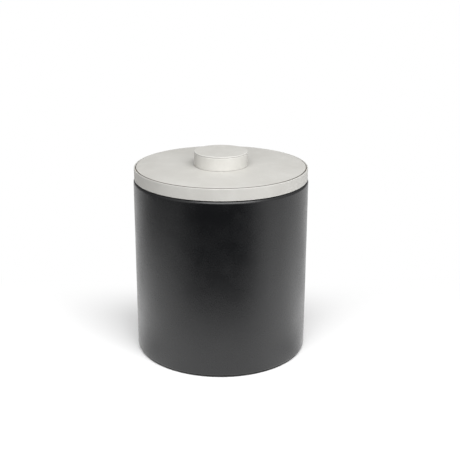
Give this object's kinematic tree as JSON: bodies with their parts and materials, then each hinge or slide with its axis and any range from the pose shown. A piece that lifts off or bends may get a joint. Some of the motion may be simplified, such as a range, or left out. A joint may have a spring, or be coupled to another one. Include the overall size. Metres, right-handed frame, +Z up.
{
  "type": "ice bucket",
  "caption": "Round leather-covered ice bucket with a lift-out insulated steel insert, and a lift-off leather lid with a flat round knob and an insulated plug.",
  "frame": {"origin": "centre of the base, on the plane of the base pad that stands on the table", "axes": "+Z up along the bucket's axis of revolution; -Y is the front, +Y the back, where the seams of the leather are"},
  "size_m": [0.21, 0.21, 0.247],
  "materials": {
    "black_leather": "smooth semi-matte bonded leather, near black",
    "grey_leather": "smooth matte bonded leather, warm pale grey",
    "lining": "black suede-like flocked lining",
    "base_rubber": "black non-slip pad, fine pebble",
    "board": "raw wood fibreboard",
    "satin_steel": "satin stainless steel, turned",
    "foam": "rigid polyurethane foam, pale yellow, closed cell",
    "silicone": "translucent grey silicone",
    "screw_steel": "bright stainless steel",
    "brass": "plain turned brass",
    "nylon": "natural nylon"
  },
  "bodies": {
    "casing": {"base_pad": "base_rubber", "leather_wrap": "black_leather", "base_filler_card": "board", "casing_tube": "board", "base_board": "board", "side_lining": "lining", "floor_lining": "lining"},
    "insert": {"insert_inner_cup": "satin_steel", "insert_outer_shell": "satin_steel", "insert_foam": "foam"},
    "lid": {"lid_band_leather": "grey_leather", "lid_top_leather": "grey_leather", "lid_core": "board", "lid_underside_facing": "lining", "lid_plug_pan": "satin_steel", "lid_plug_foam": "foam", "lid_seal_ring": "silicone", "knob_core": "board", "knob_band_leather": "grey_leather", "knob_top_leather": "grey_leather", "plug_spacer_tube": "nylon", "screw_sealing_washer": "silicone", "knob_insert_nut": "brass", "knob_screw": "screw_steel"}
  },
  "joints": [
    {"name": "insert_lift", "type": "slide", "parent": "casing", "child": "insert", "axis": [0, 0, 1], "range_m": [0, 0.25]},
    {"name": "lid_lift", "type": "slide", "parent": "insert", "child": "lid", "axis": [0, 0, 1], "range_m": [0, 0.2]}
  ]
}
